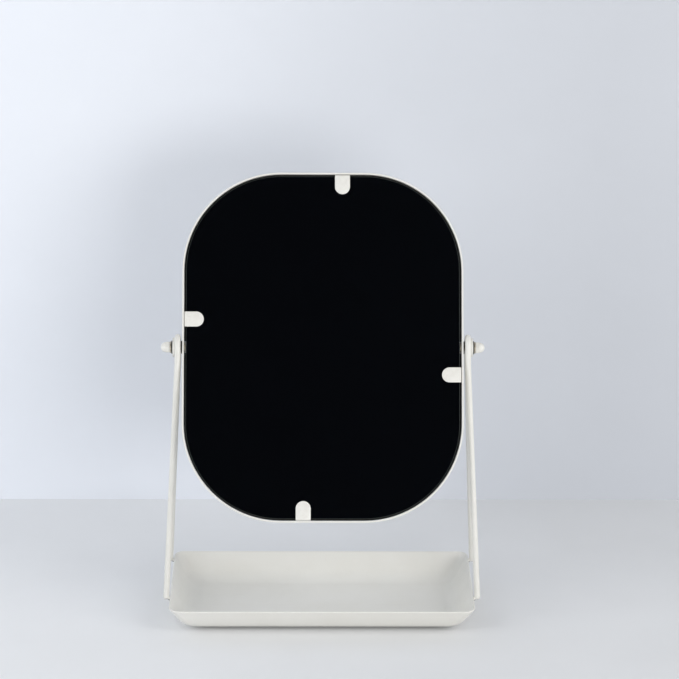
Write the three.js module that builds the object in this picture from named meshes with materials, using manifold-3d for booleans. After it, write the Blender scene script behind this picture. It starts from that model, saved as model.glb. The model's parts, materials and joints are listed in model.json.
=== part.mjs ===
// Countertop mirror: a double-sided swivel mirror between two bent-rod legs that stand on a pressed tray.
// Millimetres, +Z up, front towards -Y. The origin is on the table, under the middle of the whole object.
import * as THREE from "three";
import { mergeVertices } from "three/addons/utils/BufferGeometryUtils.js";
import Module from "manifold-3d";

const wasm = await Module();
wasm.setup();

// Driving dimensions
const band = { width: 203, height: 253, corner: 71.5, wall: 1.2, depth: 12 };
const glass = { width: 197.6, height: 247.6, corner: 68.5, thickness: 2.9, recess: 1.1 };
const board = { width: 200.2, height: 250.2, corner: 70.1, thickness: 3.6, studRoom: 4.2, studClearance: 0.25 };
const turnedSides = 24;
const clip = {
  width: 10.8,
  reach: 14,
  thickness: 1,
  heelDepth: 3.6,
  bend: 1.2,
  heelGap: 0.3,
  proudOfBand: 0.1,
  alongTop: 14,
  alongSide: 20,
};
const pivot = { height: 204, behindTray: 6.5, lean: THREE.MathUtils.degToRad(24) };
const tray = {
  width: 224,
  depth: 107,
  rimHeight: 20,
  corner: 8,
  sheet: 1.2,
  bend: 16,
  slope: THREE.MathUtils.degToRad(60),
  lip: 0.35,
  y: -5,
};
const pad = { radius: 6, height: 1.4, gap: 0.1, x: 83, y: 25 };
const leg = {
  rod: 2.15,
  apexX: 104.9,
  footX: 114.45,
  footZ: 19,
  spread: 33.5,
  bend: 6,
  bendLift: 1.5,
  kneeBelowPivot: 10,
};
const eye = { radius: 7, hole: 2.3, thickness: 1.2, inner: 107.25 };
const stud = { radius: 2, headRadius: 4, headInner: 99.15, headOuter: 100.1, tip: 114.9, chamfer: 0.4 };
const holeInBand = 2.2;
const cutMargin = 1; // how far a cutting tool reaches past what it cuts
const spacer = { radius: 4.6, hole: 2.2, inner: 101.6, outer: 102.5 };
const frictionWasher = { radius: 4.8, hole: 2.2, inner: 108.65, outer: 109.35 };
const springWasher = { radius: 4.2, hole: 2.2, inner: 109.5, outer: 110.3 };
const nut = {
  inner: 110.45,
  hexLength: 2.8,
  acrossFlats: 7.5,
  domeRadius: 3.7,
  domeNeck: 0.15,
  bore: 2.2,
  boreDepth: 4.8,
  chamfer: 0.4,
};

const cream = { color: 0xe9e7e0, roughness: 0.45, metalness: 0 };
const silvered = { color: 0xdfe3e6, roughness: 0.02, metalness: 1 };
const fibreboard = { color: 0x262320, roughness: 0.9, metalness: 0 };
const darkNylon = { color: 0x2a2927, roughness: 0.6, metalness: 0 };
const zinc = { color: 0xb9ad98, roughness: 0.35, metalness: 1 };
const rubber = { color: 0x35332f, roughness: 0.9, metalness: 0 };

const model = new THREE.Group();
const head = new THREE.Group();
head.position.set(0, tray.y + pivot.behindTray, pivot.height);
head.rotation.x = -pivot.lean;
model.add(head);

function addPart(group, name, geometry, finish) {
  const mesh = new THREE.Mesh(geometry, new THREE.MeshStandardMaterial(finish));
  mesh.name = name;
  group.add(mesh);
  return mesh;
}

// Boolean work: geometry to solid and back
function toSolid(geometry) {
  const bare = geometry.index ? geometry.toNonIndexed() : geometry.clone();
  bare.deleteAttribute("normal");
  bare.deleteAttribute("uv");
  const merged = mergeVertices(bare, 1e-4);
  const mesh = new wasm.Mesh({
    numProp: 3,
    vertProperties: merged.attributes.position.array,
    triVerts: new Uint32Array(merged.index.array),
  });
  return new wasm.Manifold(mesh);
}

function toGeometry(solid) {
  const mesh = solid.getMesh();
  const geometry = new THREE.BufferGeometry();
  geometry.setAttribute("position", new THREE.BufferAttribute(mesh.vertProperties, 3));
  geometry.setIndex(new THREE.BufferAttribute(mesh.triVerts, 1));
  geometry.computeVertexNormals();
  return geometry;
}

// Outlines and plates
function roundedRect(width, height, radius, Outline = THREE.Shape) {
  const x = width / 2 - radius;
  const y = height / 2 - radius;
  const outline = new Outline();
  outline.absarc(x, y, radius, 0, Math.PI / 2);
  outline.absarc(-x, y, radius, Math.PI / 2, Math.PI);
  outline.absarc(-x, -y, radius, Math.PI, 1.5 * Math.PI);
  outline.absarc(x, -y, radius, 1.5 * Math.PI, 2 * Math.PI);
  return outline;
}

// An outline drawn in X and Z, thickened along Y from frontY towards the back
function uprightPlate(outline, thickness, frontY, curveSegments = 10) {
  const geometry = new THREE.ExtrudeGeometry(outline, { depth: thickness, bevelEnabled: false, curveSegments });
  geometry.rotateX(Math.PI / 2);
  geometry.translate(0, frontY + thickness, 0);
  return geometry;
}

// A turned piece on the X axis: profile points are [radius, distance from the middle of the object]
function turned(side, profile, segments = turnedSides) {
  const points = profile.map(([radius, along]) => new THREE.Vector2(radius, along));
  const geometry = new THREE.LatheGeometry(points, segments);
  geometry.rotateZ((-side * Math.PI) / 2);
  return geometry;
}

function turnedRing(side, { radius, hole, inner, outer }) {
  return turned(side, [
    [hole, inner],
    [radius, inner],
    [radius, outer],
    [hole, outer],
    [hole, inner],
  ]);
}

// Tray: one pressed sheet, a flat floor with a wide bend up to a flared wall
function trayRing(inset, z, radius) {
  const cornerSteps = 8;
  const x = tray.width / 2 - inset - radius;
  const y = tray.depth / 2 - inset - radius;
  const corners = [[x, y], [-x, y], [-x, -y], [x, -y]];
  return corners.flatMap(([cx, cy], quarter) =>
    Array.from({ length: cornerSteps + 1 }, (_, step) => {
      const angle = (quarter + step / cornerSteps) * (Math.PI / 2);
      return new THREE.Vector3(cx + radius * Math.cos(angle), cy + radius * Math.sin(angle), z);
    }),
  );
}

function trayProfile() {
  const bendSteps = 8;
  const innerCorner = tray.corner - tray.sheet;
  const tilt = Math.PI / 2 - tray.slope;
  const bendTop = tray.bend * (1 - Math.sin(tilt));
  const bendInset = tray.bend * Math.cos(tilt) + (tray.rimHeight - bendTop) / Math.tan(tray.slope);
  const wallInset = (z, offset) => (tray.rimHeight - z) / Math.tan(tray.slope) + offset / Math.cos(tilt);
  const bendPoints = (radius, corner) =>
    Array.from({ length: bendSteps + 1 }, (_, step) => {
      const angle = -Math.PI / 2 + (step / bendSteps) * tray.slope;
      return [bendInset - radius * Math.cos(angle), tray.bend + radius * Math.sin(angle), corner];
    });
  const top = tray.rimHeight;
  const innerEdge = wallInset(top, tray.sheet);
  return [
    ...bendPoints(tray.bend, tray.corner),
    [wallInset(top - tray.lip, 0), top - tray.lip, tray.corner],
    [tray.lip, top, tray.corner],
    [innerEdge - tray.lip, top, innerCorner],
    [wallInset(top - tray.lip, tray.sheet), top - tray.lip, innerCorner],
    ...bendPoints(tray.bend - tray.sheet, innerCorner).reverse(),
  ];
}

function trayGeometry() {
  const rings = trayProfile().map(([inset, z, radius]) => trayRing(inset, z, radius));
  const count = rings[0].length;
  const index = [];
  for (let k = 0; k < rings.length - 1; k += 1) {
    for (let i = 0; i < count; i += 1) {
      const next = (i + 1) % count;
      const [a, b, c, d] = [k * count + i, k * count + next, (k + 1) * count + next, (k + 1) * count + i];
      index.push(a, b, c, a, c, d);
    }
  }
  const floor = (rings.length - 1) * count;
  for (let i = 1; i < count - 1; i += 1) {
    index.push(0, i + 1, i);
    index.push(floor, floor + i, floor + i + 1);
  }
  const geometry = new THREE.BufferGeometry().setFromPoints(rings.flat());
  geometry.setIndex(index);
  return geometry;
}

// Leg: one rod bent into a hairpin over the pivot, both limbs straight down to the tray's rim
class BentRod extends THREE.Curve {
  constructor(points) {
    super();
    this.points = points;
  }

  getPoint(t, target = new THREE.Vector3()) {
    const place = t * (this.points.length - 1);
    const from = Math.min(Math.floor(place), this.points.length - 2);
    return target.lerpVectors(this.points[from], this.points[from + 1], place - from);
  }

  // One ring of the tube on each point, so that bends get short steps and limbs long ones
  getUtoTmapping(u) {
    return u;
  }
}

function legPoints(side) {
  const bendZ = pivot.height + leg.bendLift;
  const drop = bendZ - leg.footZ;
  const limbTilt = Math.atan2(leg.spread, drop) - Math.asin(leg.bend / Math.hypot(leg.spread, drop));
  const kneeZ = pivot.height - leg.kneeBelowPivot;
  const splay = (leg.footX - leg.apexX) / (kneeZ - leg.footZ);
  const tangentY = leg.bend * Math.cos(limbTilt);
  const tangentZ = bendZ + leg.bend * Math.sin(limbTilt);
  const shareOfLimb = [0, 0.33, 0.66, 0.9, 0.93, 0.96, 1]; // short steps where the limb turns upright
  const limb = shareOfLimb.map((part) => {
    const z = leg.footZ + part * (tangentZ - leg.footZ);
    const x = leg.apexX + Math.max(0, kneeZ - z) * splay;
    return [x, tangentY + (tangentZ - z) * Math.tan(limbTilt), z];
  });
  const bendSteps = 12;
  const hairpin = Array.from({ length: bendSteps - 1 }, (_, step) => {
    const angle = limbTilt + ((step + 1) / bendSteps) * (Math.PI - 2 * limbTilt);
    return [leg.apexX, -leg.bend * Math.cos(angle), bendZ + leg.bend * Math.sin(angle)];
  });
  const front = limb.map(([x, y, z]) => [x, -y, z]);
  return [...front, ...hairpin, ...limb.reverse()].map(
    ([x, y, z]) => new THREE.Vector3(side * x, head.position.y + y, z),
  );
}

function legGeometry(side) {
  const path = new BentRod(legPoints(side));
  const section = new THREE.Shape().absarc(0, 0, leg.rod, 0, 2 * Math.PI);
  return new THREE.ExtrudeGeometry(section, {
    steps: path.points.length - 1,
    extrudePath: path,
    curveSegments: 6,
    bevelEnabled: false,
  });
}

// Mirror head pieces, in the head's own frame: X across, Z up the mirror, Y through it
function bandGeometry() {
  const outline = roundedRect(band.width, band.height, band.corner);
  const { width, height, corner, wall } = band;
  outline.holes.push(roundedRect(width - 2 * wall, height - 2 * wall, corner - wall, THREE.Path));
  const ring = toSolid(uprightPlate(outline, band.depth, -band.depth / 2));
  const drillLength = width + 2 * cutMargin;
  const drill = new THREE.CylinderGeometry(holeInBand, holeInBand, drillLength, turnedSides);
  return toGeometry(ring.subtract(toSolid(drill.rotateZ(Math.PI / 2))));
}

// The board fills the band from side to side and is notched round the heads of the pivot studs
function boardGeometry() {
  const { width, height, corner, thickness, studRoom, studClearance } = board;
  const plate = toSolid(uprightPlate(roundedRect(width, height, corner), thickness, -thickness / 2));
  const notchDepth = width / 2 - stud.headInner + studClearance;
  return toGeometry(
    [-1, 1].reduce((rest, side) => {
      const notch = new THREE.BoxGeometry(2 * notchDepth, thickness + 2 * cutMargin, 2 * studRoom);
      return rest.subtract(toSolid(notch.translate((side * width) / 2, 0, 0)));
    }, plate),
  );
}

// A bent clip at the top edge: its heel stands inside the band and its round-ended tongue lies on the glass
function clipGeometry() {
  const { width, reach, thickness, heelDepth, bend } = clip;
  const inner = bend - thickness;
  const profile = new THREE.Shape();
  profile.moveTo(-reach, 0);
  profile.lineTo(-bend, 0);
  profile.absarc(-bend, bend, bend, -Math.PI / 2, 0);
  profile.lineTo(0, heelDepth);
  profile.lineTo(-thickness, heelDepth);
  profile.lineTo(-thickness, bend);
  profile.absarc(-bend, bend, inner, 0, -Math.PI / 2, true);
  profile.lineTo(-reach, thickness);
  const strip = new THREE.ExtrudeGeometry(profile, { depth: width, bevelEnabled: false, curveSegments: 4 });
  strip.translate(0, 0, -width / 2);
  strip.rotateY(-Math.PI / 2);
  const tongue = new THREE.Shape();
  tongue.moveTo(width / 2, cutMargin);
  tongue.lineTo(-width / 2, cutMargin);
  tongue.absarc(0, width / 2 - reach, width / 2, Math.PI, 2 * Math.PI);
  const trim = uprightPlate(tongue, heelDepth + 2 * cutMargin, -cutMargin, 8);
  return toGeometry(toSolid(strip).intersect(toSolid(trim)));
}

// Four clips to each face, set round the middle like a pinwheel
const clipPlaces = [
  { name: "top", turn: 0, edge: band.height / 2, along: clip.alongTop },
  { name: "right", turn: Math.PI / 2, edge: band.width / 2, along: clip.alongSide },
  { name: "bottom", turn: Math.PI, edge: band.height / 2, along: clip.alongTop },
  { name: "left", turn: -Math.PI / 2, edge: band.width / 2, along: clip.alongSide },
];

function addClips(face) {
  const front = face === "front";
  for (const { name, turn, edge, along } of clipPlaces) {
    const geometry = clipGeometry();
    geometry.translate(along, -band.depth / 2 - clip.proudOfBand, edge - band.wall - clip.heelGap);
    geometry.rotateY(turn);
    if (!front) geometry.rotateZ(Math.PI);
    addPart(head, `${face}_clip_${name}`, geometry, cream);
  }
}

function studGeometry(side) {
  const { radius, headRadius, headInner, headOuter, tip, chamfer } = stud;
  return turned(side, [
    [0, headInner],
    [headRadius, headInner],
    [headRadius, headOuter],
    [radius, headOuter],
    [radius, tip - chamfer],
    [radius - chamfer, tip],
    [0, tip],
  ]);
}

function capNutGeometry(side) {
  const hexRadius = nut.acrossFlats / Math.sqrt(3);
  const { inner, hexLength, chamfer, domeRadius, domeNeck, bore, boreDepth } = nut;
  const hex = new THREE.CylinderGeometry(hexRadius, hexRadius, hexLength, 6);
  hex.rotateZ(Math.PI / 2);
  hex.translate(side * (inner + hexLength / 2), 0, 0);
  const hexEnd = inner + hexLength;
  const facing = turned(side, [
    [0, inner],
    [hexRadius - chamfer, inner],
    [hexRadius, inner + chamfer],
    [hexRadius, hexEnd - chamfer],
    [hexRadius - chamfer, hexEnd],
    [0, hexEnd],
  ]);
  const domeSteps = 8;
  const dome = Array.from({ length: domeSteps }, (_, step) => {
    const angle = (step / domeSteps) * (Math.PI / 2);
    return [domeRadius * Math.cos(angle), hexEnd + domeNeck + domeRadius * Math.sin(angle)];
  });
  const cap = turned(side, [
    [0, hexEnd - cutMargin],
    [domeRadius, hexEnd - cutMargin],
    ...dome,
    [0, hexEnd + domeNeck + domeRadius],
  ]);
  const drill = turned(side, [
    [0, inner - cutMargin],
    [bore, inner - cutMargin],
    [bore, inner + boreDepth],
    [0, inner + boreDepth],
  ]);
  const body = toSolid(hex).intersect(toSolid(facing)).add(toSolid(cap));
  return toGeometry(body.subtract(toSolid(drill)));
}

// Stand
const trayMesh = addPart(model, "tray", trayGeometry(), cream);
trayMesh.position.set(0, tray.y, pad.height + pad.gap);

for (const [endName, endSign] of [["front", -1], ["rear", 1]]) {
  for (const [sideName, side] of [["left", -1], ["right", 1]]) {
    const shape = new THREE.CylinderGeometry(pad.radius, pad.radius, pad.height, turnedSides).rotateX(Math.PI / 2);
    const mesh = addPart(model, `foot_pad_${endName}_${sideName}`, shape, rubber);
    mesh.position.set(side * pad.x, tray.y + endSign * pad.y, pad.height / 2);
  }
}

// Mirror head
addPart(head, "frame_band", bandGeometry(), cream);
const glassFront = -band.depth / 2 + glass.recess;
const glassOutline = roundedRect(glass.width, glass.height, glass.corner);
addPart(head, "front_glass", uprightPlate(glassOutline, glass.thickness, glassFront), silvered);
addPart(head, "rear_glass", uprightPlate(glassOutline, glass.thickness, -glassFront - glass.thickness), silvered);
addPart(head, "core_board", boardGeometry(), fibreboard);
addClips("front");
addClips("rear");

for (const [sideName, side] of [["left", -1], ["right", 1]]) {
  addPart(model, `leg_${sideName}`, legGeometry(side), cream);
  const plate = { radius: eye.radius, hole: eye.hole, inner: eye.inner, outer: eye.inner + eye.thickness };
  const eyeMesh = addPart(model, `pivot_eye_${sideName}`, turnedRing(side, plate), cream);
  eyeMesh.position.copy(head.position);
  addPart(head, `pivot_stud_${sideName}`, studGeometry(side), zinc);
  addPart(head, `spacer_washer_${sideName}`, turnedRing(side, spacer), darkNylon);
  addPart(head, `friction_washer_${sideName}`, turnedRing(side, frictionWasher), darkNylon);
  addPart(head, `spring_washer_${sideName}`, turnedRing(side, springWasher), zinc);
  addPart(head, `cap_nut_${sideName}`, capNutGeometry(side), cream);
}

export default model;
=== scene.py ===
import json
import math

import bmesh
import bpy
from mathutils import Matrix, Vector


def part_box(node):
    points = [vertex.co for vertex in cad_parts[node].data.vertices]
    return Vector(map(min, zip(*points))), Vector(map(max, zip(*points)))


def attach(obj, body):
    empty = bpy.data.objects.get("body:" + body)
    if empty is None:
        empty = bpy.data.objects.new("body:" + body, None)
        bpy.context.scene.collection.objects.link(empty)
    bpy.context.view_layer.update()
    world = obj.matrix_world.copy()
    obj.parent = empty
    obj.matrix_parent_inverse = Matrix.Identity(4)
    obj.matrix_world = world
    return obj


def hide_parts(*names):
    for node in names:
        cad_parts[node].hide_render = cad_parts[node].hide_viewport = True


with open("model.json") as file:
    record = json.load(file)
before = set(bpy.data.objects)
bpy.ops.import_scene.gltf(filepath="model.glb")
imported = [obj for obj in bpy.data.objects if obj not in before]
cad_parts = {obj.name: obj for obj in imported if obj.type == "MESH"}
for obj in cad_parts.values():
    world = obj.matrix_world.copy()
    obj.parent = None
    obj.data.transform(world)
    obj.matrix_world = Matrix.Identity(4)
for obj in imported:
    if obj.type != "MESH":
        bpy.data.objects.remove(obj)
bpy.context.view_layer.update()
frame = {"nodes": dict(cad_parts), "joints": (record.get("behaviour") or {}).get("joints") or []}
nodes = frame["nodes"]
mm = 0.001
touch = 0.01 * mm  # what lies this close to a plane counts as on it
cutPast = 1 * mm  # how far a cutting tool reaches past what it cuts
sides = {"left": -1, "right": 1}

# The mirror head leans back about its pivot. A flat piece of it is made lying down, X across, Y up the mirror
# and Z towards the viewer, and then stood up in this place.
pivot = Vector(frame["joints"][0]["pos_m"])
paneNormal = max(nodes["front_glass"].data.polygons, key=lambda face: face.area).normal
lean = math.atan2(abs(paneNormal.z), abs(paneNormal.y))
headPlace = Matrix.Translation(pivot) @ Matrix.Rotation(-lean, 4, "X")
lyingPlace = headPlace @ Matrix.Rotation(math.radians(90), 4, "X")


def boxIn(place, node):  # a CAD node's lowest and highest corner, measured along the axes of a place
    back = place.inverted()
    corners = [back @ vertex.co for vertex in nodes[node].data.vertices]
    low = Vector([min(c[axis] for c in corners) for axis in range(3)])
    high = Vector([max(c[axis] for c in corners) for axis in range(3)])
    return low, high


# Modelling helpers: each works on the active piece

def deselectAll():
    if bpy.context.object and bpy.context.object.mode != "OBJECT":
        bpy.ops.object.mode_set(mode="OBJECT")
    bpy.ops.object.select_all(action="DESELECT")


def makeActive(piece):
    deselectAll()
    piece.select_set(True)
    bpy.context.view_layer.objects.active = piece


def nameActive(name):
    piece = bpy.context.object
    piece.name = name
    piece.data.name = name
    return piece


def startEdit():
    bpy.ops.object.mode_set(mode="EDIT")
    bpy.ops.mesh.select_mode(type="VERT")
    bpy.ops.mesh.select_all(action="SELECT")


def endEdit():
    bpy.ops.object.mode_set(mode="OBJECT")


def middle(item):
    if isinstance(item, bmesh.types.BMVert):
        return item.co
    return sum((vertex.co for vertex in item.verts), Vector()) / len(item.verts)


def pick(kind, test):  # selects the vertices, edges or faces that pass a test of their middle
    bpy.ops.mesh.select_mode(type=kind)
    bpy.ops.mesh.select_all(action="DESELECT")
    mesh = bmesh.from_edit_mesh(bpy.context.object.data)
    for item in {"VERT": mesh.verts, "EDGE": mesh.edges, "FACE": mesh.faces}[kind]:
        if test(middle(item)):
            item.select_set(True)
    mesh.select_flush_mode()
    bmesh.update_edit_mesh(bpy.context.object.data)


def pickRims():  # the open edges of a shell
    bpy.ops.mesh.select_mode(type="EDGE")
    bpy.ops.mesh.select_all(action="DESELECT")
    bpy.ops.mesh.select_non_manifold(extend=False, use_boundary=True, use_wire=True, use_multi_face=False,
                                     use_non_contiguous=False, use_verts=False)


def extrude(x=0, y=0, z=0):
    bpy.ops.mesh.extrude_region_move(TRANSFORM_OT_translate={"value": (x, y, z)})


def recalculateNormals():
    startEdit()
    bpy.ops.mesh.remove_doubles(threshold=0.002 * mm)
    bpy.ops.mesh.normals_make_consistent(inside=False)
    endEdit()


def useModifier(piece, kind, **settings):
    makeActive(piece)
    modifier = piece.modifiers.new(kind.title(), kind)
    for name, value in settings.items():
        setattr(modifier, name, value)
    bpy.ops.object.modifier_apply(modifier=modifier.name)


def roundEdges(piece, width, segments=3, angle=40):
    useModifier(piece, "BEVEL", width=width, segments=segments, limit_method="ANGLE",
                angle_limit=math.radians(angle), use_clamp_overlap=True, miter_outer="MITER_ARC")


def combine(piece, tool, operation):
    useModifier(piece, "BOOLEAN", object=tool, operation=operation, solver="EXACT")
    bpy.data.objects.remove(tool)


def copyOf(piece, name):
    twin = piece.copy()
    twin.data = piece.data.copy()
    twin.name = name
    twin.data.name = name
    bpy.context.collection.objects.link(twin)
    return twin


def placeWith(piece, place):
    makeActive(piece)
    piece.matrix_world = place
    bpy.ops.object.transform_apply(location=True, rotation=True, scale=True)


def handOver(piece, body, slot, material, *replaced, smoothAngle=35):
    makeActive(piece)
    bpy.ops.object.shade_smooth_by_angle(angle=math.radians(smoothAngle))
    if not piece.data.materials:
        piece.data.materials.append(material)
    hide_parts(*replaced)
    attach(piece, body)


def addPlate(name, width, height, corner, steps):
    deselectAll()
    bpy.ops.mesh.primitive_plane_add(size=1)
    piece = nameActive(name)
    startEdit()
    bpy.ops.transform.resize(value=(width, height, 1))
    bpy.ops.mesh.bevel(affect="VERTICES", offset=corner, offset_type="OFFSET", segments=steps, profile=0.5)
    return piece


def addDrum(name, radius, low, high, steps=48):  # a cylinder that stands on Z from low to high
    deselectAll()
    bpy.ops.mesh.primitive_cylinder_add(vertices=steps, radius=radius, depth=high - low)
    piece = nameActive(name)
    startEdit()
    bpy.ops.transform.translate(value=(0, 0, (low + high) / 2))
    return piece


# Shader node groups: effects that more than one finish uses

def newGroup(name, inputs, outputs):
    group = bpy.data.node_groups.new(name, "ShaderNodeTree")
    for label, kind, value in inputs:
        group.interface.new_socket(name=label, in_out="INPUT", socket_type=kind).default_value = value
    for label, kind in outputs:
        group.interface.new_socket(name=label, in_out="OUTPUT", socket_type=kind)
    return group, group.nodes.new("NodeGroupInput"), group.nodes.new("NodeGroupOutput")


def addNode(tree, kind, inputs=None, **settings):
    node = tree.nodes.new(kind)
    for name, value in settings.items():
        setattr(node, name, value)
    for name, value in (inputs or {}).items():
        if isinstance(value, bpy.types.NodeSocket):
            tree.links.new(value, node.inputs[name])
        else:
            node.inputs[name].default_value = value
    return node


def objectNoise(tree, scale, detail=4, roughness=0.55):
    coordinates = addNode(tree, "ShaderNodeTexCoord")
    return addNode(tree, "ShaderNodeTexNoise", {
        "Vector": coordinates.outputs["Object"], "Scale": scale, "Detail": detail, "Roughness": roughness})


def remap(tree, value, fromLow, fromHigh, toLow=0.0, toHigh=1.0, smooth=True):
    node = addNode(tree, "ShaderNodeMapRange", {
        "Value": value, "From Min": fromLow, "From Max": fromHigh, "To Min": toLow, "To Max": toHigh})
    node.interpolation_type = "SMOOTHSTEP" if smooth else "LINEAR"
    return node.outputs["Result"]


def calculate(tree, operation, first, second):
    return addNode(tree, "ShaderNodeMath", {0: first, 1: second}, operation=operation).outputs["Value"]


def mixColours(tree, factor, first, second):
    node = addNode(tree, "ShaderNodeMix", data_type="RGBA")
    for index, value in ((0, factor), (6, first), (7, second)):
        if isinstance(value, bpy.types.NodeSocket):
            tree.links.new(value, node.inputs[index])
        else:
            node.inputs[index].default_value = value
    return node.outputs[2]


def opaque(colour):
    return (*colour, 1)


# Fine peel of a sprayed or moulded surface: a height, and a mask that clouds its colour
def makePeelGroup():
    group, given, result = newGroup("surfacePeel", [
        ("Peel Scale", "NodeSocketFloat", 900), ("Grit Scale", "NodeSocketFloat", 3600),
        ("Grit Share", "NodeSocketFloat", 0.35), ("Cloud Scale", "NodeSocketFloat", 14),
    ], [("Height", "NodeSocketFloat"), ("Cloud", "NodeSocketFloat"), ("Speckle", "NodeSocketFloat")])
    peel = objectNoise(group, given.outputs["Peel Scale"], detail=2)
    grit = objectNoise(group, given.outputs["Grit Scale"], detail=3, roughness=0.7)
    cloud = objectNoise(group, given.outputs["Cloud Scale"], detail=5, roughness=0.6)
    fine = calculate(group, "MULTIPLY", grit.outputs["Fac"], given.outputs["Grit Share"])
    height = calculate(group, "ADD", peel.outputs["Fac"], fine)
    group.links.new(height, result.inputs["Height"])
    group.links.new(remap(group, cloud.outputs["Fac"], 0.32, 0.68), result.inputs["Cloud"])
    group.links.new(remap(group, grit.outputs["Fac"], 0.36, 0.64), result.inputs["Speckle"])
    return group


# Thin coat on outward edges, broken up so that it comes and goes
def makeEdgeWearGroup():
    group, given, result = newGroup("edgeWear", [
        ("Start", "NodeSocketFloat", 0.52), ("Full", "NodeSocketFloat", 0.6),
        ("Break Scale", "NodeSocketFloat", 260),
    ], [("Mask", "NodeSocketFloat")])
    geometry = addNode(group, "ShaderNodeNewGeometry")
    edge = addNode(group, "ShaderNodeMapRange", {
        "Value": geometry.outputs["Pointiness"], "From Min": given.outputs["Start"],
        "From Max": given.outputs["Full"]})
    breaks = objectNoise(group, given.outputs["Break Scale"], detail=5, roughness=0.65)
    broken = remap(group, breaks.outputs["Fac"], 0.46, 0.6)
    group.links.new(calculate(group, "MULTIPLY", edge.outputs["Result"], broken), result.inputs["Mask"])
    return group


# Dust on what faces up, and faint wiped smears
def makeDustGroup():
    group, given, result = newGroup("dustAndSmears", [
        ("Dust Scale", "NodeSocketFloat", 420), ("Smear Scale", "NodeSocketFloat", 26),
    ], [("Dust", "NodeSocketFloat"), ("Smear", "NodeSocketFloat")])
    coordinates = addNode(group, "ShaderNodeTexCoord")
    axes = addNode(group, "ShaderNodeSeparateXYZ", {"Vector": coordinates.outputs["Normal"]})
    upward = remap(group, axes.outputs["Z"], 0.2, 0.95)
    specks = objectNoise(group, given.outputs["Dust Scale"], detail=6, roughness=0.75)
    dust = calculate(group, "MULTIPLY", remap(group, specks.outputs["Fac"], 0.52, 0.7), upward)
    stretched = addNode(group, "ShaderNodeMapping", {
        "Vector": coordinates.outputs["Object"], "Scale": (1, 2.6, 0.7), "Rotation": (0.3, 0.4, 0.5)})
    smear = addNode(group, "ShaderNodeTexNoise", {
        "Vector": stretched.outputs["Vector"], "Scale": given.outputs["Smear Scale"], "Detail": 7,
        "Roughness": 0.6, "Distortion": 0.8})
    group.links.new(dust, result.inputs["Dust"])
    group.links.new(remap(group, smear.outputs["Fac"], 0.4, 0.66), result.inputs["Smear"])
    return group


peelGroup = makePeelGroup()
edgeWearGroup = makeEdgeWearGroup()
dustGroup = makeDustGroup()


def newMaterial(name, roughness, metallic=0.0):
    material = bpy.data.materials.new(name)
    material.use_nodes = True
    shader = material.node_tree.nodes["Principled BSDF"]
    shader.inputs["Roughness"].default_value = roughness
    shader.inputs["Metallic"].default_value = metallic
    return material, material.node_tree, shader


def useGroup(tree, group, **values):
    node = addNode(tree, "ShaderNodeGroup", node_tree=group)
    for name, value in values.items():
        node.inputs[name].default_value = value
    return node


def bump(tree, shader, height, strength, distance):
    node = addNode(tree, "ShaderNodeBump", {"Height": height, "Strength": strength, "Distance": distance})
    tree.links.new(node.outputs["Normal"], shader.inputs["Normal"])


# Finishes
coat = {
    "colour": (0.757, 0.746, 0.704), "cloudColour": (0.722, 0.709, 0.661),
    "speckleColour": (0.786, 0.779, 0.744), "thinColour": (0.560, 0.535, 0.475), "dustColour": (0.66, 0.65, 0.62),
    "roughness": (0.36, 0.50), "peelStrength": 0.32, "peelDepth": 0.05,
    # The near-black colour here is painted shade for the rounded rod ends
    "endShadeColour": (0.035, 0.032, 0.028), "speckleShare": 0.35, "dustShare": 0.10, "wearShare": 0.55,
}


def creamCoat(name, endShade=None):  # endShade is a height range painted dark: painted shade under the rounded end of a rod
    material, tree, shader = newMaterial(name, coat["roughness"][0])
    peel = useGroup(tree, peelGroup)
    wear = useGroup(tree, edgeWearGroup)
    dust = useGroup(tree, dustGroup)
    clouded = mixColours(tree, peel.outputs["Cloud"], opaque(coat["colour"]), opaque(coat["cloudColour"]))
    speckled = mixColours(tree, calculate(tree, "MULTIPLY", peel.outputs["Speckle"], coat["speckleShare"]),
                          clouded, opaque(coat["speckleColour"]))
    dusty = mixColours(tree, calculate(tree, "MULTIPLY", dust.outputs["Dust"], coat["dustShare"]),
                       speckled, opaque(coat["dustColour"]))
    finished = mixColours(tree, calculate(tree, "MULTIPLY", wear.outputs["Mask"], coat["wearShare"]),
                          dusty, opaque(coat["thinColour"]))
    if endShade:
        # Painted shade: below this height the rod's colour is mixed to near-black
        coordinates = addNode(tree, "ShaderNodeTexCoord")
        axes = addNode(tree, "ShaderNodeSeparateXYZ", {"Vector": coordinates.outputs["Object"]})
        inEndShade = remap(tree, axes.outputs["Z"], endShade[0], endShade[1], 1.0, 0.0)
        finished = mixColours(tree, inEndShade, finished, opaque(coat["endShadeColour"]))
    tree.links.new(finished, shader.inputs["Base Color"])
    rough = remap(tree, dust.outputs["Smear"], 0, 1, *coat["roughness"])
    tree.links.new(rough, shader.inputs["Roughness"])
    bump(tree, shader, peel.outputs["Height"], coat["peelStrength"], coat["peelDepth"] * mm)
    return material


silver = {"colour": (0.83, 0.85, 0.86), "smearColour": (0.79, 0.81, 0.82), "roughness": (0.008, 0.022),
          "smearScale": 9}


def mirrorSilver():
    material, tree, shader = newMaterial("mirrorSilver", silver["roughness"][0], metallic=1.0)
    dust = useGroup(tree, dustGroup, **{"Smear Scale": silver["smearScale"]})
    colour = mixColours(tree, dust.outputs["Smear"], opaque(silver["colour"]), opaque(silver["smearColour"]))
    tree.links.new(colour, shader.inputs["Base Color"])
    rough = remap(tree, dust.outputs["Smear"], 0, 1, *silver["roughness"])
    tree.links.new(rough, shader.inputs["Roughness"])
    return material


groundEdge = {"colour": (0.014, 0.022, 0.020), "paleColour": (0.030, 0.042, 0.038), "roughness": 0.55,
              "peel": 2200, "grit": 7000, "bump": 0.25, "bumpDepth": 0.03}


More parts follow.
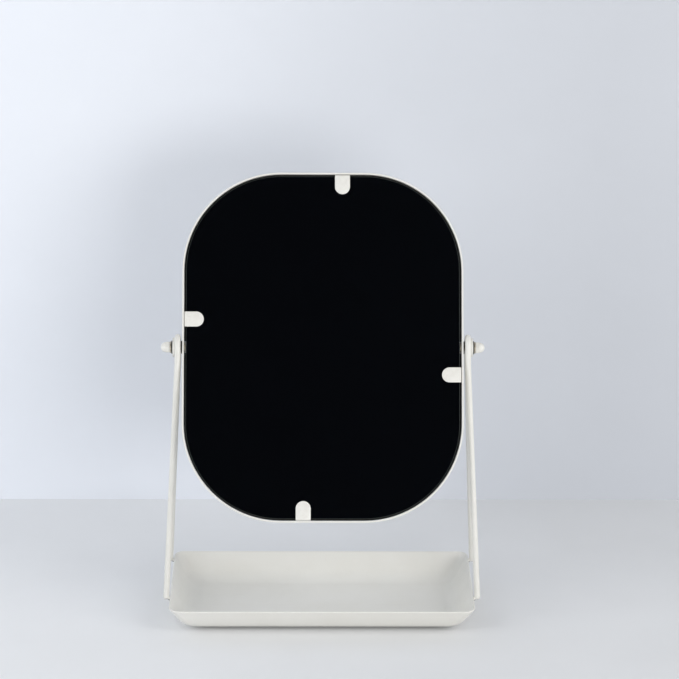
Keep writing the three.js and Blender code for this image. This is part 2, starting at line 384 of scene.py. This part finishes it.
def glassEdge():
    material, tree, shader = newMaterial("groundGlassEdge", groundEdge["roughness"])
    peel = useGroup(tree, peelGroup, **{"Peel Scale": groundEdge["peel"], "Grit Scale": groundEdge["grit"]})
    colour = mixColours(tree, peel.outputs["Speckle"],
                        opaque(groundEdge["colour"]), opaque(groundEdge["paleColour"]))
    tree.links.new(colour, shader.inputs["Base Color"])
    bump(tree, shader, peel.outputs["Height"], groundEdge["bump"], groundEdge["bumpDepth"] * mm)
    return material


plainScales = {"cloud": 90, "wearBreak": 900, "smear": 140, "bumpDepth": 0.05}
plainFinishes = {
    "darkNylon": {"colour": (0.028, 0.027, 0.025), "cloud": (0.045, 0.043, 0.040), "worn": (0.10, 0.10, 0.095),
                  "roughness": (0.42, 0.62), "metallic": 0.0, "peel": 1600, "bump": 0.2},
    "zincPlate": {"colour": (0.60, 0.535, 0.42), "cloud": (0.50, 0.44, 0.33), "worn": (0.72, 0.69, 0.62),
                  "roughness": (0.28, 0.46), "metallic": 1.0, "peel": 2400, "bump": 0.2},
    "rubberPad": {"colour": (0.030, 0.029, 0.027), "cloud": (0.050, 0.048, 0.045), "worn": (0.13, 0.125, 0.12),
                  "roughness": (0.75, 0.92), "metallic": 0.0, "peel": 1300, "bump": 0.5},
    "fibreBoard": {"colour": (0.012, 0.011, 0.010), "cloud": (0.020, 0.018, 0.016), "worn": (0.05, 0.045, 0.04),
                   "roughness": (0.8, 0.95), "metallic": 0.0, "peel": 700, "bump": 0.7},
}


def plainFinish(name):
    values = plainFinishes[name]
    material, tree, shader = newMaterial(name, values["roughness"][0], metallic=values["metallic"])
    peel = useGroup(tree, peelGroup, **{"Peel Scale": values["peel"], "Cloud Scale": plainScales["cloud"]})
    wear = useGroup(tree, edgeWearGroup, **{"Break Scale": plainScales["wearBreak"]})
    dust = useGroup(tree, dustGroup, **{"Smear Scale": plainScales["smear"]})
    clouded = mixColours(tree, peel.outputs["Cloud"], opaque(values["colour"]), opaque(values["cloud"]))
    worn = mixColours(tree, wear.outputs["Mask"], clouded, opaque(values["worn"]))
    tree.links.new(worn, shader.inputs["Base Color"])
    rough = remap(tree, dust.outputs["Smear"], 0, 1, *values["roughness"])
    tree.links.new(rough, shader.inputs["Roughness"])
    bump(tree, shader, peel.outputs["Height"], values["bump"], plainScales["bumpDepth"] * mm)
    return material


creamFinish = creamCoat("creamCoat")
silverFinish = mirrorSilver()
edgeFinish = glassEdge()
nylonFinish = plainFinish("darkNylon")
zincFinish = plainFinish("zincPlate")
rubberFinish = plainFinish("rubberPad")
boardFinish = plainFinish("fibreBoard")
print("finishes made")

# Tray: the rim's outline is stepped down to the floor, its corners keep their radius as they move inwards,
# and then the sheet is given its thickness
tray = {"corner": 8, "cornerSteps": 12, "sheet": 1.2, "bend": 16, "bendSteps": 14, "slope": 60, "rimRound": 0.5,
        "floorBorder": 0.6}


def stepDown(height, inwards, down):  # the selected floor goes down, and each corner of it moves in by itself
    bpy.ops.mesh.inset(thickness=0, depth=-down)
    height -= down
    for acrossSign in (-1, 1):
        for alongSign in (-1, 1):
            pick("VERT", lambda place: (place.z < height + touch and place.x * acrossSign > 0
                                        and place.y * alongSign > 0))
            bpy.ops.transform.translate(value=(-acrossSign * inwards, -alongSign * inwards, 0))
    pick("FACE", lambda place: place.z < height + touch)
    return height


def makeTray():
    low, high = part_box("tray")
    slope = math.radians(tray["slope"])
    bend, sheet = tray["bend"] * mm, tray["sheet"] * mm
    height = high.z - low.z - sheet * math.cos(slope)  # the cut edge is square to the sloping wall
    piece = addPlate("trayShell", high.x - low.x, high.y - low.y, tray["corner"] * mm, tray["cornerSteps"])
    bpy.ops.transform.translate(value=(0, 0, height))
    wallDrop = height - bend * (1 - math.cos(slope))
    height = stepDown(height, wallDrop / math.tan(slope), wallDrop)
    for step in range(tray["bendSteps"]):
        above = slope * (1 - step / tray["bendSteps"])
        below = slope * (1 - (step + 1) / tray["bendSteps"])
        height = stepDown(height, bend * (math.sin(above) - math.sin(below)),
                          bend * (math.cos(below) - math.cos(above)))
    bpy.ops.mesh.inset(thickness=tray["floorBorder"] * mm, depth=0)
    endEdit()
    useModifier(piece, "SOLIDIFY", thickness=sheet, offset=1, use_even_offset=True)
    roundEdges(piece, tray["rimRound"] * mm)
    placeWith(piece, Matrix.Translation(((low.x + high.x) / 2, (low.y + high.y) / 2, low.z)))
    handOver(piece, "stand", "cream_enamel", creamFinish, "tray")


makeTray()
print("tray made")

# Pads under the tray
pad = {"rim": 1.2, "dish": 0.25, "round": 0.35}


def makePads():
    low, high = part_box("foot_pad_front_left")
    radius, height = (high.x - low.x) / 2, high.z - low.z
    first = addDrum("padPattern", radius, 0, height)
    pick("FACE", lambda place: place.z < touch)
    bpy.ops.mesh.inset(thickness=pad["rim"] * mm, depth=0)
    # A shallow dish, so that the rim grips
    bpy.ops.mesh.inset(thickness=pad["dish"] * mm, depth=-pad["dish"] * mm)
    endEdit()
    roundEdges(first, pad["round"] * mm, segments=2, angle=60)
    for end in ("front", "rear"):
        for sideName in sides:
            node = f"foot_pad_{end}_{sideName}"
            low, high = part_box(node)
            piece = copyOf(first, f"pad_{end}_{sideName}")
            placeWith(piece, Matrix.Translation(((low.x + high.x) / 2, (low.y + high.y) / 2, low.z)))
            handOver(piece, "stand", "pads", rubberFinish, node)
    bpy.data.objects.remove(first)


makePads()
print("pads made")

# Legs: a ring run up one limb, spun round the hairpin over the pivot and run down the other limb
leg = {"rod": 2.15, "rodSteps": 28, "hairpin": 6, "hairpinLift": 1.5, "hairpinSteps": 18, "kneeBelowPivot": 10,
       "footSpread": 33.5, "footBelowRim": 2.5, "beadSize": (1.7, 2.0, 1.5), "beadBelowRim": 0.2, "endShade": 1.0,
       "endRoundShare": 0.98, "endRoundSteps": 6}


def makeLegs():
    low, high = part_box("leg_right")
    rod, hairpin = leg["rod"] * mm, leg["hairpin"] * mm
    apexX, footX = low.x + rod, high.x - rod
    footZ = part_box("tray")[1].z - leg["footBelowRim"] * mm
    hairpinZ = pivot.z + leg["hairpinLift"] * mm
    spread, drop = leg["footSpread"] * mm, hairpinZ - footZ
    tilt = math.atan2(spread, drop) - math.asin(hairpin / math.hypot(spread, drop))
    tangent = Vector((apexX, -hairpin * math.cos(tilt), hairpinZ + hairpin * math.sin(tilt)))
    kneeZ = pivot.z - leg["kneeBelowPivot"] * mm
    knee = Vector((apexX, tangent.y - (tangent.z - kneeZ) * math.tan(tilt), kneeZ))
    foot = Vector((footX, tangent.y - (tangent.z - footZ) * math.tan(tilt), footZ))
    deselectAll()
    bpy.ops.mesh.primitive_circle_add(vertices=leg["rodSteps"], radius=rod, fill_type="NOTHING",
                                      rotation=(-tilt, 0, 0))
    piece = nameActive("legRight")
    bpy.ops.object.transform_apply(location=True, rotation=True, scale=True)
    startEdit()
    bpy.ops.transform.translate(value=foot)
    bpy.ops.mesh.extrude_region_move(TRANSFORM_OT_translate={"value": knee - foot})
    bpy.ops.mesh.extrude_region_move(TRANSFORM_OT_translate={"value": tangent - knee})
    bpy.ops.mesh.spin(steps=leg["hairpinSteps"], angle=math.pi - 2 * tilt, center=(apexX, 0, hairpinZ),
                      axis=(1, 0, 0))
    flip = Matrix.Scale(-1, 3, Vector((0, 1, 0)))
    bpy.ops.mesh.extrude_region_move(TRANSFORM_OT_translate={"value": flip @ (knee - tangent)})
    bpy.ops.mesh.extrude_region_move(TRANSFORM_OT_translate={"value": flip @ (foot - knee)})
    pickRims()
    bpy.ops.mesh.edge_face_add()
    endEdit()
    recalculateNormals()
    # The two cut ends are rounded over
    roundEdges(piece, leg["endRoundShare"] * rod, segments=leg["endRoundSteps"], angle=60)
    return piece, foot


def makeLegPieces():
    piece, foot = makeLegs()
    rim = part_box("tray")[1]
    for end in (-1, 1):
        deselectAll()
        bpy.ops.mesh.primitive_uv_sphere_add(segments=20, ring_count=12, radius=1)
        bead = nameActive("bead")
        size = Vector(leg["beadSize"]) * mm
        place = Vector((rim.x, end * abs(foot.y), rim.z - leg["beadBelowRim"] * mm - size.z))
        placeWith(bead, Matrix.LocRotScale(place, None, size))
        combine(piece, bead, "UNION")
    twin = copyOf(piece, "legLeft")
    placeWith(piece, Matrix.Translation((0, pivot.y, 0)))
    placeWith(twin, Matrix.LocRotScale(Vector((0, pivot.y, 0)), None, Vector((-1, 1, 1))))
    # The lowest millimetre of each leg gets painted shade, darkening the underside of its rounded end
    legFinish = creamCoat("creamCoatLeg", endShade=(foot.z, foot.z + leg["endShade"] * mm))
    for sideName, side in (("left", twin), ("right", piece)):
        makeActive(side)
        recalculateNormals()
        handOver(side, "stand", "cream_enamel", legFinish, f"leg_{sideName}")


makeLegPieces()
print("legs made")

# Mirror head: the band, the two panes and the board between them
band = {"corner": 71.5, "cornerSteps": 30, "wall": 1.2, "edgeRound": 0.3, "hole": 2.2}


def makeBand():
    low, high = boxIn(lyingPlace, "frame_band")
    piece = addPlate("headBand", high.x - low.x, high.y - low.y, band["corner"] * mm, band["cornerSteps"])
    bpy.ops.mesh.delete(type="ONLY_FACE")
    bpy.ops.mesh.select_all(action="SELECT")
    bpy.ops.transform.translate(value=(0, 0, low.z))
    extrude(z=high.z - low.z)
    endEdit()
    recalculateNormals()
    useModifier(piece, "SOLIDIFY", thickness=band["wall"] * mm, offset=-1, use_even_offset=True)
    roundEdges(piece, band["edgeRound"] * mm)
    drill = addDrum("drill", band["hole"] * mm, low.x - cutPast, high.x + cutPast, steps=32)
    endEdit()
    placeWith(drill, Matrix.Rotation(math.radians(90), 4, "Y"))
    combine(piece, drill, "DIFFERENCE")
    placeWith(piece, lyingPlace)
    handOver(piece, "mirror_head", "cream_enamel", creamFinish, "frame_band")


makeBand()

pane = {"corner": 68.5, "cornerSteps": 30, "arris": 0.25, "silverNormal": 0.99}


def makePanes():
    low, high = boxIn(lyingPlace, "front_glass")
    front = addPlate("paneFront", high.x - low.x, high.y - low.y, pane["corner"] * mm, pane["cornerSteps"])
    bpy.ops.transform.translate(value=(0, 0, low.z))
    endEdit()
    useModifier(front, "SOLIDIFY", thickness=high.z - low.z, offset=1)
    roundEdges(front, pane["arris"] * mm, segments=2)
    front.data.materials.append(silverFinish)
    front.data.materials.append(edgeFinish)
    for face in front.data.polygons:
        face.material_index = 0 if face.normal.z > pane["silverNormal"] else 1
    rear = copyOf(front, "paneRear")
    placeWith(front, lyingPlace)
    placeWith(rear, lyingPlace @ Matrix.Rotation(math.radians(180), 4, "Y"))
    handOver(front, "mirror_head", "mirror_glass", silverFinish, "front_glass", smoothAngle=20)
    handOver(rear, "mirror_head", "mirror_glass", silverFinish, "rear_glass", smoothAngle=20)


makePanes()

nodes["core_board"].data.materials.clear()
nodes["core_board"].data.materials.append(boardFinish)
print("band and panes made")

# Clips: a round-ended tongue, turned through a quarter circle into the heel that stands inside the band
clip = {"reach": 14, "bend": 1.2, "bendSteps": 5, "thickness": 1.0, "endSteps": 10, "endShare": 0.498,
        "edgeRound": 0.22, "turns": {"top": 0, "right": -90, "bottom": 180, "left": 90}}


def makeClips():
    low, high = boxIn(lyingPlace, "front_clip_top")
    width, reach, bend = high.x - low.x, clip["reach"] * mm, clip["bend"] * mm
    deselectAll()
    bpy.ops.mesh.primitive_plane_add(size=1)
    pattern = nameActive("clipPattern")
    startEdit()
    bpy.ops.transform.resize(value=(width, reach - bend, 1))
    bpy.ops.transform.translate(value=(0, -bend - (reach - bend) / 2, 0))
    pick("VERT", lambda place: place.y < -reach + touch)
    bpy.ops.mesh.bevel(affect="VERTICES", offset=clip["endShare"] * width, offset_type="OFFSET",
                       segments=clip["endSteps"], profile=0.5)
    pick("EDGE", lambda place: place.y > -bend - touch)
    bpy.ops.mesh.spin(steps=clip["bendSteps"], angle=math.radians(90), center=(0, -bend, -bend), axis=(1, 0, 0))
    extrude(z=-(high.z - low.z - bend))
    endEdit()
    recalculateNormals()
    useModifier(pattern, "SOLIDIFY", thickness=clip["thickness"] * mm, offset=-1, use_even_offset=True)
    roundEdges(pattern, clip["edgeRound"] * mm, segments=2, angle=60)
    faces = {"front": Matrix.Identity(4), "rear": Matrix.Rotation(math.radians(180), 4, "Y")}
    for faceName, faceTurn in faces.items():
        for name, degrees in clip["turns"].items():
            node = f"{faceName}_clip_{name}"
            turned = lyingPlace @ faceTurn @ Matrix.Rotation(math.radians(degrees), 4, "Z")
            low, high = boxIn(turned, node)
            piece = copyOf(pattern, f"clip_{faceName}_{name}")
            placeWith(piece, turned @ Matrix.Translation(((low.x + high.x) / 2, high.y, high.z)))
            handOver(piece, "mirror_head", "cream_enamel", creamFinish, node)
    bpy.data.objects.remove(pattern)


makeClips()
print("clips made")

# Pivots: turned pieces stand on Z, which is the distance from the middle of the mirror, and are laid along X
hardware = {
    "eye": {"hole": 2.3, "round": 0.35, "intoRod": 0.3, "slot": "cream_enamel"},
    "spacer_washer": {"hole": 2.2, "round": 0.2, "slot": "dark_washers"},
    "friction_washer": {"hole": 2.2, "round": 0.15, "slot": "dark_washers"},
    "spring_washer": {"hole": 2.2, "round": 0.12, "slot": "zinc_hardware", "split": 0.5, "slant": 35,
                      "cutShare": 6},
    "nut": {"hexLength": 2.8, "chamfer": 0.55, "domeRadius": 3.7, "domeShare": 0.985, "domeSteps": 12,
            "bore": 2.2, "boreDepth": 4.8},
    "stud": {"shaft": 2.0, "headThickness": 0.95, "chamfer": 0.4, "round": 0.3},
}
ringFinishes = {"cream_enamel": creamFinish, "dark_washers": nylonFinish, "zinc_hardware": zincFinish}


def turnedPlace(side):
    return headPlace @ Matrix.Rotation(side * math.radians(90), 4, "Y")


def makeRing(name, node, side, body, values):
    low, high = boxIn(turnedPlace(side), node)
    start = low.z - values.get("intoRod", 0) * mm
    radius, hole = (high.x - low.x) / 2, values["hole"] * mm
    piece = addDrum(name, radius, start, high.z)
    centre = (start + high.z) / 2
    pick("FACE", lambda place: abs(place.z - centre) > (high.z - start) / 2 - touch)
    bpy.ops.mesh.inset(thickness=radius - hole, depth=0, use_individual=True, use_even_offset=True)
    bpy.ops.mesh.delete(type="FACE")
    pickRims()
    bpy.ops.mesh.bridge_edge_loops()
    endEdit()
    recalculateNormals()
    roundEdges(piece, values["round"] * mm, segments=2, angle=60)
    if "split" in values:  # a spring washer is cut through on a slant
        deselectAll()
        bpy.ops.mesh.primitive_cube_add(size=1)
        cutter = nameActive("cutter")
        slant = Matrix.Rotation(math.radians(values["slant"]), 4, "Y")
        cutterSize = Vector((values["split"] * mm, 2 * radius, values["cutShare"] * (high.z - start)))
        placeWith(cutter, Matrix.Translation((0, radius, centre)) @ slant @ Matrix.Diagonal((*cutterSize, 1)))
        combine(piece, cutter, "DIFFERENCE")
    placeWith(piece, turnedPlace(side))
    handOver(piece, body, values["slot"], ringFinishes[values["slot"]], node)


def makeCapNut(sideName, side):
    node = f"cap_nut_{sideName}"
    values = hardware["nut"]
    low, high = boxIn(turnedPlace(side), node)
    hexRadius = max(high.x - low.x, high.y - low.y) / 2
    hexEnd = low.z + values["hexLength"] * mm
    piece = addDrum(f"capNut_{sideName}", hexRadius, low.z, hexEnd, steps=6)
    endEdit()
    facing = addDrum("facing", hexRadius, low.z, hexEnd, steps=64)
    endEdit()
    roundEdges(facing, values["chamfer"] * mm, segments=2, angle=60)
    combine(piece, facing, "INTERSECT")
    domeRadius = values["domeRadius"] * mm
    dome = addDrum("dome", domeRadius, hexEnd - cutPast, high.z)
    endEdit()
    makeActive(dome)
    startEdit()
    pick("FACE", lambda place: place.z > high.z - touch)
    bpy.ops.mesh.bevel(affect="EDGES", offset=values["domeShare"] * domeRadius, offset_type="OFFSET",
                       segments=values["domeSteps"], profile=0.5)
    endEdit()
    combine(piece, dome, "UNION")
    bore = addDrum("bore", values["bore"] * mm, low.z - cutPast, low.z + values["boreDepth"] * mm, steps=32)
    endEdit()
    combine(piece, bore, "DIFFERENCE")
    placeWith(piece, turnedPlace(side))
    handOver(piece, "mirror_head", "cream_enamel", creamFinish, node, smoothAngle=25)


def makeStud(sideName, side):
    node = f"pivot_stud_{sideName}"
    values = hardware["stud"]
    low, high = boxIn(turnedPlace(side), node)
    headRadius = (high.x - low.x) / 2
    headOuter = low.z + values["headThickness"] * mm
    piece = addDrum(f"stud_{sideName}", values["shaft"] * mm, headOuter, high.z, steps=32)
    pick("FACE", lambda place: place.z > high.z - touch)
    bpy.ops.mesh.bevel(affect="EDGES", offset=values["chamfer"] * mm, segments=1)
    endEdit()
    head = addDrum("studHead", headRadius, low.z, headOuter, steps=40)
    endEdit()
    roundEdges(head, values["round"] * mm, segments=3, angle=60)
    combine(piece, head, "UNION")
    placeWith(piece, turnedPlace(side))
    handOver(piece, "mirror_head", "zinc_hardware", zincFinish, node)


for sideName, side in sides.items():
    makeRing(f"eyePlate_{sideName}", f"pivot_eye_{sideName}", side, "stand", hardware["eye"])
    for kind in ("spacer_washer", "friction_washer", "spring_washer"):
        makeRing(f"{kind}_fine_{sideName}", f"{kind}_{sideName}", side, "mirror_head", hardware[kind])
    makeCapNut(sideName, side)
    makeStud(sideName, side)
print("pivots made")

# Stage: table top, wall and a dark card that only the mirror sees
stage = {
    "wallY": 0.196, "reach": 3.0, "wallHeight": 2.6, "shadeReach": 0.26, "cloudSpan": (0.3, 0.7),
    "cardDistance": 2.6, "cardSize": (3.4, 2.2), "cardColour": (0.004, 0.0045, 0.006), "cardRoughness": 0.9,
}
surfaces = {  # shading is painted shade: the colour factor at the left and at the right, darker to the right where less light falls
    "tableTop": {"colour": (0.88, 0.89, 0.905), "shading": (0.97, 0.88), "roughness": 0.7, "mottle": 0.03,
                 "scale": 7},
    "wall": {"colour": (0.82, 0.85, 0.91), "shading": (0.99, 0.70), "roughness": 0.9, "mottle": 0.035,
             "scale": 3},
}


def plainSurface(name):
    values = surfaces[name]
    material, tree, shader = newMaterial(name, values["roughness"])
    coordinates = addNode(tree, "ShaderNodeTexCoord")
    axes = addNode(tree, "ShaderNodeSeparateXYZ", {"Vector": coordinates.outputs["Object"]})
    # Painted shade: the colour is scaled down from left to right
    paintedShade = remap(tree, axes.outputs["X"], -stage["shadeReach"], stage["shadeReach"], *values["shading"])
    cloud = objectNoise(tree, values["scale"], detail=6, roughness=0.6)
    shade = remap(tree, cloud.outputs["Fac"], *stage["cloudSpan"])
    darker = tuple(channel * (1 - values["mottle"]) for channel in values["colour"])
    mottled = mixColours(tree, shade, opaque(darker), opaque(values["colour"]))
    shaded = addNode(tree, "ShaderNodeVectorMath", {0: mottled, "Scale": paintedShade}, operation="SCALE")
    tree.links.new(shaded.outputs["Vector"], shader.inputs["Base Color"])
    return material


def addStagePlane(name, place, size, material):
    deselectAll()
    bpy.ops.mesh.primitive_plane_add(size=1)
    piece = nameActive(name)
    placeWith(piece, place @ Matrix.Diagonal((*size, 1, 1)))
    piece.data.materials.append(material)
    return piece


tableFinish = plainSurface("tableTop")
wallFinish = plainSurface("wall")
tableSize = (2 * stage["reach"], stage["reach"] + stage["wallY"])
tablePlace = Matrix.Translation((0, stage["wallY"] - tableSize[1] / 2, 0))
addStagePlane("table", tablePlace, tableSize, tableFinish)

wallMiddle = Matrix.Translation((0, stage["wallY"], stage["wallHeight"] / 2))
wallPlace = wallMiddle @ Matrix.Rotation(math.radians(90), 4, "X")
addStagePlane("wall", wallPlace, (2 * stage["reach"], stage["wallHeight"]), wallFinish)

# The wall shows from the front only, so that a view from behind looks through it
wallTree = wallFinish.node_tree
facing = addNode(wallTree, "ShaderNodeNewGeometry")
through = addNode(wallTree, "ShaderNodeBsdfTransparent")
oneSided = addNode(wallTree, "ShaderNodeMixShader", {
    0: facing.outputs["Backfacing"], 1: wallTree.nodes["Principled BSDF"].outputs["BSDF"],
    2: through.outputs["BSDF"]})
wallTree.links.new(oneSided.outputs["Shader"], wallTree.nodes["Material Output"].inputs["Surface"])

# Camera
view = {"target": (0.0119, -0.005, 0.2125), "elevation": 20, "yaw": 0.95, "roll": 0.45, "distance": 1.9,
        "lens": 139.9}


def makeCamera():
    bpy.ops.object.camera_add()
    camera = bpy.context.object
    camera.name = "camera"
    turn = (Matrix.Rotation(math.radians(-view["yaw"]), 4, "Z")
            @ Matrix.Rotation(math.radians(90 - view["elevation"]), 4, "X")
            @ Matrix.Rotation(math.radians(view["roll"]), 4, "Z"))
    back = turn @ Vector((0, 0, view["distance"]))
    camera.matrix_world = Matrix.Translation(Vector(view["target"]) + back) @ turn
    camera.data.lens = view["lens"]
    camera.data.sensor_width = 36
    camera.data.clip_start = 0.05
    camera.data.clip_end = 30
    camera.data.dof.use_dof = False
    bpy.context.scene.camera = camera
    return camera


deselectAll()
camera = makeCamera()


def makeDarkCard():
    normal = headPlace.to_3x3() @ Vector((0, -1, 0))
    incoming = (pivot - camera.location).normalized()
    outgoing = incoming - 2 * incoming.dot(normal) * normal
    material, tree, shader = newMaterial("darkCard", stage["cardRoughness"])
    shader.inputs["Base Color"].default_value = opaque(stage["cardColour"])
    shader.inputs["Specular IOR Level"].default_value = 0
    turn = outgoing.to_track_quat("Z", "Y").to_matrix().to_4x4()
    place = Matrix.Translation(pivot + outgoing * stage["cardDistance"]) @ turn
    card = addStagePlane("darkCard", place, stage["cardSize"], material)
    card.visible_camera = False
    card.visible_diffuse = False
    card.visible_shadow = False
    card.visible_transmission = False
    card.visible_volume_scatter = False


makeDarkCard()

# Light: a pale room and four large soft panels
lamps = {
    "frontKey": {"place": (-0.95, -1.75, 1.45), "aim": (0, 0, 0.15), "size": (1.5, 1.1), "power": 6.3,
                 "colour": (1.0, 0.99, 0.98)},
    "lowRight": {"place": (0.85, -1.95, 0.42), "aim": (0, 0, 0.08), "size": (1.0, 0.7), "power": 12.8,
                 "colour": (1.0, 0.99, 0.98)},
    "rightSide": {"place": (1.25, -0.75, 0.85), "aim": (0, 0, 0.16), "size": (0.9, 1.2), "power": 10.2,
                  "colour": (1.0, 0.985, 0.965)},
    "leftSide": {"place": (-1.35, -0.65, 0.7), "aim": (0, 0, 0.16), "size": (0.9, 1.2), "power": 8.8,
                 "colour": (0.98, 0.99, 1.0)},
}
room = {"colour": (0.94, 0.97, 1.0), "strength": 0.315}


def makeLights():
    for name, values in lamps.items():
        deselectAll()
        bpy.ops.object.light_add(type="AREA")
        lamp = bpy.context.object
        lamp.name = name
        lamp.data.shape = "RECTANGLE"
        lamp.data.size, lamp.data.size_y = values["size"]
        lamp.data.energy = values["power"]
        lamp.data.color = values["colour"]
        start, aim = Vector(values["place"]), Vector(values["aim"])
        towardsAim = (aim - start).to_track_quat("-Z", "Y").to_matrix().to_4x4()
        lamp.matrix_world = Matrix.Translation(start) @ towardsAim
    world = bpy.context.scene.world or bpy.data.worlds.new("room")
    bpy.context.scene.world = world
    world.use_nodes = True
    background = world.node_tree.nodes["Background"]
    background.inputs["Color"].default_value = opaque(room["colour"])
    background.inputs["Strength"].default_value = room["strength"]


makeLights()
bpy.context.scene.view_settings.view_transform = "Standard"
bpy.context.scene.view_settings.look = "None"
print("stage, camera and lights made")

deselectAll()
